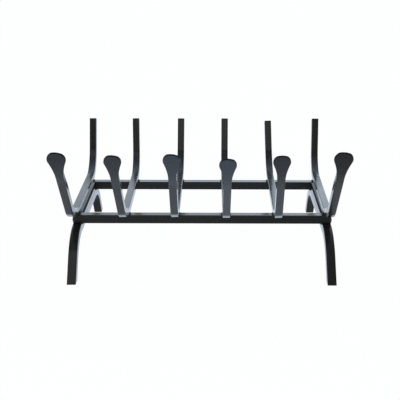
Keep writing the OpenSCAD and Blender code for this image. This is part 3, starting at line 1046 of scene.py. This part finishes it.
# %% From a screen's colour to light
def colour(code):
    """Linear RGBA of a hex colour: a channel c becomes c / 12.92 below
    0.04045, and ((c + 0.055) / 1.055) to the power 2.4 above it."""
    c = np.array([int(code[k:k + 2], 16) for k in (1, 3, 5)]) / 255
    linear = np.where(c <= 0.04045, c / 12.92, ((c + 0.055) / 1.055) ** 2.4)
    return (*linear.tolist(), 1.0)


print("#808080 is", [round(v, 3) for v in colour("#808080")])


# %% Adding a node
def add(tree, kind, inputs=None, **settings):
    """A new node in a tree. Settings are its own properties, inputs its
    sockets by name or number, each a plain value or another node's output."""
    made = tree.nodes.new("ShaderNode" + kind)
    for name, value in settings.items():
        setattr(made, name, value)
    for key, value in (inputs or {}).items():
        if isinstance(value, bpy.types.NodeSocket):
            tree.links.new(value, made.inputs[key])
        else:
            made.inputs[key].default_value = value
    return made


def fresh(name):
    """A new material with nothing but its output node."""
    material = bpy.data.materials.new(name)
    material.use_nodes = True
    material.node_tree.nodes.clear()
    return material, material.node_tree, add(material.node_tree, "OutputMaterial")


print("materials so far:", len(bpy.data.materials))

# %% [markdown]
# ## Satin stove paint on rolled and hammered steel
#
# Such a grate is sprayed with a black paint that stands the heat. It is a
# dielectric, not a metal: near black where it is looked at squarely, and
# a pale mirror where it is looked at along the surface. That is why the tops
# of the rails and the inner sides of the bars shine almost white while
# their fronts stay black. A metallic black would shine everywhere alike.
#
# The skin of the paint has three things on it: the fine pebble of a sprayed
# coat, the slow waves of hot-rolled bar under it, and the burnt scale of
# the forge on the hammered ends, where it dries rougher and duller.
#
# All patterns are noise on Object coordinates, in metres, so a scale is one
# over a real size. An image would need seams round every bent bar.

# %% Marks and patterns of the paint
paint, tree, output = fresh("satin_stove_paint_on_rolled_steel")
place = add(tree, "TexCoord").outputs["Object"]
corner = add(tree, "Attribute", attribute_name="corner").outputs["Fac"]
hammered = add(tree, "Attribute", attribute_name="hammered").outputs["Fac"]
# the next two marks carry painted light: a grey sheen that stands in for reflections,
# and a black that stands in for shade
painted_sheen = add(tree, "Attribute", attribute_name="painted_sheen").outputs["Fac"]
dull_and_painted_shade = add(tree, "Attribute", attribute_name="dull_and_painted_shade").outputs["Fac"]

# clouds of thicker and thinner paint, 18 mm across; their smallest lobes are
# 4 mm, two picture points, so that they still show
clouds = add(tree, "TexNoise", {"Vector": place, "Scale": 1 / 0.018, "Detail": 3.0,
                                "Roughness": 0.6}).outputs["Fac"]
# forge scale under the paint; real flakes are 2 or 3 mm across, and 5 mm here
scale = add(tree, "TexNoise", {"Vector": place, "Scale": 1 / 0.005, "Detail": 4.0,
                               "Roughness": 0.65}).outputs["Fac"]
# the sprayed pebble is 0.4 mm across in the real coat, and 1.8 mm here
pebble = add(tree, "TexNoise", {"Vector": place, "Scale": 1 / 0.0018,
                                "Detail": 1.0}).outputs["Fac"]
# waves of the rolling mill, 45 mm long
waves = add(tree, "TexNoise", {"Vector": place, "Scale": 1 / 0.045, "Detail": 1.0}
            ).outputs["Fac"]
print("patterns of the paint:", sum(n.type == "TEX_NOISE" for n in tree.nodes))

# %% [markdown]
# ## The colour of the film
#
# The film comes first, then a blue-grey painted sheen that stands in for reflections,
# then the corners where it was rubbed thin, and last a soot black that stands in for
# shade, also used on the paddles' rims. The marks of the rings say where each one is.

# %% Colour, from the film to the soot
# warm black in the film, a little greyer in the clouds
film = add(tree, "Mix", {0: clouds, 6: colour("#151411"), 7: colour("#23221e")},
           data_type="RGBA").outputs[2]
# painted sheen: a blue-grey that stands in for the reflections on arms, paddles and the
# rear bend
film = add(tree, "Mix", {0: painted_sheen, 6: film, 7: colour("#3d4147")},
           data_type="RGBA").outputs[2]
# on a corner the film runs thin, and rubbing has polished it grey in places
rub = add(tree, "MapRange", {"Value": scale, 1: 0.50, 2: 0.66, 3: 0.0, 4: 0.75},
          interpolation_type="SMOOTHSTEP").outputs[0]
worn = add(tree, "Math", {0: corner, 1: rub}, operation="MULTIPLY").outputs[0]
tone = add(tree, "Mix", {0: worn, 6: film, 7: colour("#4c5054")},
           data_type="RGBA").outputs[2]
# painted shade: soot black where the marks call for shade, and on the paddles' rims
tone = add(tree, "Mix", {0: dull_and_painted_shade, 6: tone, 7: colour("#0b0b0a")}, data_type="RGBA"
           ).outputs[2]
print("film:", [round(v, 4) for v in colour("#151411")[:3]])

# %% [markdown]
# ## Gloss and relief
#
# Satin paint has a roughness of about 0.3 as a rule. On this grate the bars
# mirror the room more sharply, so it goes from 0.17 to 0.27 with the clouds.
# The relief is a chain of Bump nodes, each laid on the last one. Real
# displacement would need far more faces for less than a fifth of a
# millimetre.

# %% Roughness and bumps
SATIN = (0.17, 0.27)                   # roughness, in thin and in thick clouds
ON_SCALE, ON_WORN, DULL_ROUGHNESS = 0.07, -0.04, 0.75    # added on both; that of the dull black
satin = add(tree, "MapRange", {"Value": clouds, 1: 0.3, 2: 0.7, 3: SATIN[0],
                               4: SATIN[1]}).outputs[0]
burnt = add(tree, "Math", {0: hammered, 1: ON_SCALE, 2: satin},
            operation="MULTIPLY_ADD").outputs[0]
gloss = add(tree, "Math", {0: worn, 1: ON_WORN, 2: burnt},
            operation="MULTIPLY_ADD").outputs[0]
gloss = add(tree, "Mix", {0: dull_and_painted_shade, 2: gloss, 3: DULL_ROUGHNESS}).outputs[0]

skin_of_paint = add(tree, "Bump", {"Height": pebble, "Strength": 1.0,
                                   "Distance": 0.012 * MM}).outputs["Normal"]
flakes = add(tree, "Bump", {"Height": scale, "Strength": hammered,
                            "Distance": 0.05 * MM,
                            "Normal": skin_of_paint}).outputs["Normal"]
mill = add(tree, "Bump", {"Height": waves, "Strength": 1.0, "Distance": 0.15 * MM,
                          "Normal": flakes}).outputs["Normal"]
print("roughness:", SATIN, "and", DULL_ROUGHNESS, "where the spray was dry")

# %% [markdown]
# ## How much the film mirrors
#
# Dry paint has an IOR of about 1.5, and a share ((n - 1) / (n + 1)) squared of the
# light that meets it squarely comes back: 4 percent. The real bars are darker than that
# in front, and brighter along the surface. One boundary can't do both. Two boundaries
# of a lower IOR can, the paint's own and that of a coat over it: at 1.22 they give 2
# percent squarely, and together more than half of the light at 81 degrees. No paint has
# so low an IOR; it is matched to the look of this grate. The coat ends where the dull
# black is, so that the painted shade doesn't shine.

# %% The shader of the paint
SKIN_IOR, SKIN_ROUGHNESS = 1.22, 0.16
squarely = ((SKIN_IOR - 1) / (SKIN_IOR + 1)) ** 2
shine = add(tree, "Math", {0: 1.0, 1: dull_and_painted_shade}, operation="SUBTRACT").outputs[0]
surface = add(tree, "BsdfPrincipled", {
    "Base Color": tone, "Roughness": gloss, "IOR": SKIN_IOR, "Normal": mill,
    "Specular Tint": colour("#f0e9d8"), "Coat Weight": shine,
    "Coat Roughness": SKIN_ROUGHNESS, "Coat IOR": SKIN_IOR, "Coat Normal": mill})
tree.links.new(surface.outputs[0], output.inputs["Surface"])
print(paint.name, len(tree.nodes), "nodes, mirrors squarely", round(2 * squarely, 3))

# %% [markdown]
# ## The same paint on weld
#
# A bead is rough metal with crevices, so the sprayed film pools in it and
# dries unevenly. The ripples are in the mesh already, so the nodes only add
# the spatter grit between them. So rough a surface never comes near a mirror,
# and one boundary is enough for it: the 1.5 of paint, taken down to 1.40 to
# match the dark knobs. Grit of about 0.5 mm is drawn 1.6 mm across here.

# %% The paint on the weld beads
weld_paint, tree, output = fresh("stove_paint_on_weld")
place = add(tree, "TexCoord").outputs["Object"]
spatter = add(tree, "TexNoise", {"Vector": place, "Scale": 1 / 0.0016, "Detail": 3.0,
                                 "Roughness": 0.6}).outputs["Fac"]
pool = add(tree, "TexNoise", {"Vector": place, "Scale": 1 / 0.004, "Detail": 2.0}
           ).outputs["Fac"]
tone = add(tree, "Mix", {0: pool, 6: colour("#131513"), 7: colour("#2a2c2b")},
           data_type="RGBA").outputs[2]
gloss = add(tree, "MapRange", {"Value": spatter, 1: 0.3, 2: 0.7, 3: 0.26, 4: 0.46}
            ).outputs[0]
grit = add(tree, "Bump", {"Height": spatter, "Strength": 1.0, "Distance": 0.08 * MM}
           ).outputs["Normal"]
surface = add(tree, "BsdfPrincipled", {"Base Color": tone, "Roughness": gloss,
                                       "IOR": 1.40, "Normal": grit,
                                       "Specular Tint": colour("#ede6d4")})
tree.links.new(surface.outputs[0], output.inputs["Surface"])
print(weld_paint.name, len(tree.nodes), "nodes")

# %% Painting the pieces
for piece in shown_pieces():
    piece.data.materials.clear()
    piece.data.materials.append(weld_paint if piece.name.startswith("weld") else paint)

# %% [markdown]
# ## The camera
#
# The photograph was taken from a little over the grate, 1.7 m in front of it,
# with a lens of about 77 mm on a 36 mm sensor. A camera further off would
# flatten the legs' splay, and a closer one would spread the arms too much.
# The shift only moves the picture by seven points to the left, as a crop of
# the photograph would.

# %% Camera
eye = bpy.data.cameras.new("camera")
camera = bpy.data.objects.new("camera", eye)
bpy.context.scene.collection.objects.link(camera)
bpy.context.scene.camera = camera
eye.sensor_width = 36
eye.lens = 76.8
eye.shift_x, eye.shift_y = -0.0169, 0.001
camera.location = (23.25 * MM, FRONT_Y - 1731 * MM, 754.5 * MM)
camera.rotation_euler = np.radians([90 - 19.35, 0, 0.42])
print("camera stands at", [round(v, 3) for v in camera.location])

# %% [markdown]
# ## A white studio
#
# Black gloss shows what stands round it, so the room is part of the look.
# Here it is soft white cloth, a little cool. It is bright behind the grate
# and dim behind the camera, so that the surfaces that face it stay black. One
# number gives that: how far a direction points to the back. A lit panel at
# the back, on the right, is added to it, for the tops of the rails and the
# sides of the bars. Low down, a bright band runs all round, as where a
# white wall meets the floor. A picture of a studio could do the same, but it
# would be a file of its own, and its lamps couldn't be moved.

# %% The room
DIM, BRIGHT = 0.45, 1.45            # brightness in front of the grate and behind
PANEL_AT, PANEL = (0.34, 0.89, 0.30), 0.7    # direction of the panel; its level
BAND = 1.35                         # brightness of the band
world = bpy.data.worlds.new("studio")
bpy.context.scene.world = world
bpy.context.scene.view_settings.view_transform = "Standard"
world.use_nodes = True
tree = world.node_tree
tree.nodes.clear()
direction = add(tree, "TexCoord").outputs["Generated"]
side = add(tree, "SeparateXYZ", {0: direction}).outputs
cloth = add(tree, "MapRange", {"Value": side["Y"], 1: -0.75, 2: 0.85, 3: DIM,
                               4: BRIGHT}, interpolation_type="SMOOTHSTEP").outputs[0]
away = add(tree, "VectorMath", {0: direction, 1: PANEL_AT},
           operation="DISTANCE").outputs["Value"]
panel = add(tree, "MapRange", {"Value": away, 1: 0.10, 2: 0.55, 3: PANEL, 4: 0.0},
            interpolation_type="SMOOTHSTEP").outputs[0]
band = add(tree, "MapRange", {"Value": side["Z"], 1: 0.08, 2: 0.36, 3: BAND, 4: 0.0},
           interpolation_type="SMOOTHSTEP").outputs[0]
level = add(tree, "Math", {0: cloth, 1: panel}, operation="ADD").outputs[0]
level = add(tree, "Math", {0: level, 1: band}, operation="MAXIMUM").outputs[0]
room = add(tree, "Background", {"Color": colour("#e2f0ff"), "Strength": level})
output = add(tree, "OutputWorld")
tree.links.new(room.outputs[0], output.inputs["Surface"])
print("room, from dim to bright:", DIM, BRIGHT, "band:", BAND)

# %% [markdown]
# ## Two soft lamps
#
# A soft box high on the left gives the faces that look up and left their
# light. A white card behind the camera is there to be mirrored: the uprights
# lean back and face it, and without it they would be as black as the arms.
# Small lamps would leave hard dots on the rounded corners.

# %% A soft box and a white card
def soft_lamp(name, place, aim, wide, high, watts):
    """An area lamp that faces a point. Its brightness is the watts over pi
    times its area."""
    light = bpy.data.lights.new(name, "AREA")
    light.shape, light.size, light.size_y, light.energy = "RECTANGLE", wide, high, watts
    lamp = bpy.data.objects.new(name, light)
    bpy.context.scene.collection.objects.link(lamp)
    lamp.location = place
    lamp.rotation_euler = (mathutils.Vector(aim) - lamp.location).to_track_quat(
        "-Z", "Y").to_euler()
    lamp.visible_camera = False
    print(name, "shines at", round(watts / (np.pi * wide * high), 2))


soft_lamp("soft_box", (-1.0, -1.75, 1.85), (0, 0, 0.1), 1.3, 1.3, 5.0)
soft_lamp("white_card", (0, -2.8, 1.32), (0, 0.2, 0.25), 0.9, 0.5, 2.0)

# %% [markdown]
# ## The floor
#
# The grate stands on white paper that runs out of sight. Lit plainly, paper
# comes out light grey, and more light would bleach the grate too. So the
# camera and the reflections see the paper's own white added in its shader.
# Reflections see it a little cooler, as the room is. The small share that is
# left to real light keeps a trace of the shadows at the feet.

# %% White paper
OWN_WHITE = 0.97    # share of the paper's white that no shadow reaches
floor_paper, tree, output = fresh("white_background_paper")
place = add(tree, "TexCoord").outputs["Object"]
fibre = add(tree, "TexNoise", {"Vector": place, "Scale": 1 / 0.003, "Detail": 2.0}
            ).outputs["Fac"]
tone = add(tree, "Mix", {0: fibre, 6: colour("#f8f9fa"), 7: colour("#fefefe")},
           data_type="RGBA").outputs[2]
path = add(tree, "LightPath").outputs
seen = add(tree, "Math", {0: path["Is Camera Ray"], 1: path["Is Glossy Ray"]},
           operation="MAXIMUM").outputs[0]
seen = add(tree, "Math", {0: seen, 1: path["Is Transmission Ray"]},
           operation="MAXIMUM").outputs[0]
share = add(tree, "Math", {0: seen, 1: OWN_WHITE}, operation="MULTIPLY").outputs[0]
lit = add(tree, "BsdfDiffuse", {"Color": tone})
sheet = add(tree, "Mix", {0: path["Is Camera Ray"], 6: colour("#e4f0ff"),
                          7: colour("#ffffff")}, data_type="RGBA").outputs[2]
white = add(tree, "Emission", {"Color": sheet, "Strength": 1.0})
both = add(tree, "MixShader", {0: share, 1: lit.outputs[0], 2: white.outputs[0]})
tree.links.new(both.outputs[0], output.inputs["Surface"])
print(floor_paper.name, len(tree.nodes), "nodes")

# %% The sheet on the floor
FAR = 15    # metres to each side, so that no edge comes into view
mesh = bpy.data.meshes.new("floor")
mesh.from_pydata([(-FAR, -FAR, 0), (FAR, -FAR, 0), (FAR, FAR, 0), (-FAR, FAR, 0)], [],
                 [(0, 1, 2, 3)])
mesh.materials.append(floor_paper)
floor = bpy.data.objects.new("floor", mesh)
bpy.context.scene.collection.objects.link(floor)
floor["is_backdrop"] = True
print("floor paper:", mesh.materials[0].name)

# %% [markdown]
# ## Closing
#
# The dressed grate must fill the same box as the CAD model, and its box is printed
# here.

# %% Sizes, for comparison
low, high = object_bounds()
print("visual box, mm:", [round(1000 * v, 1) for v in (*low, *high)])
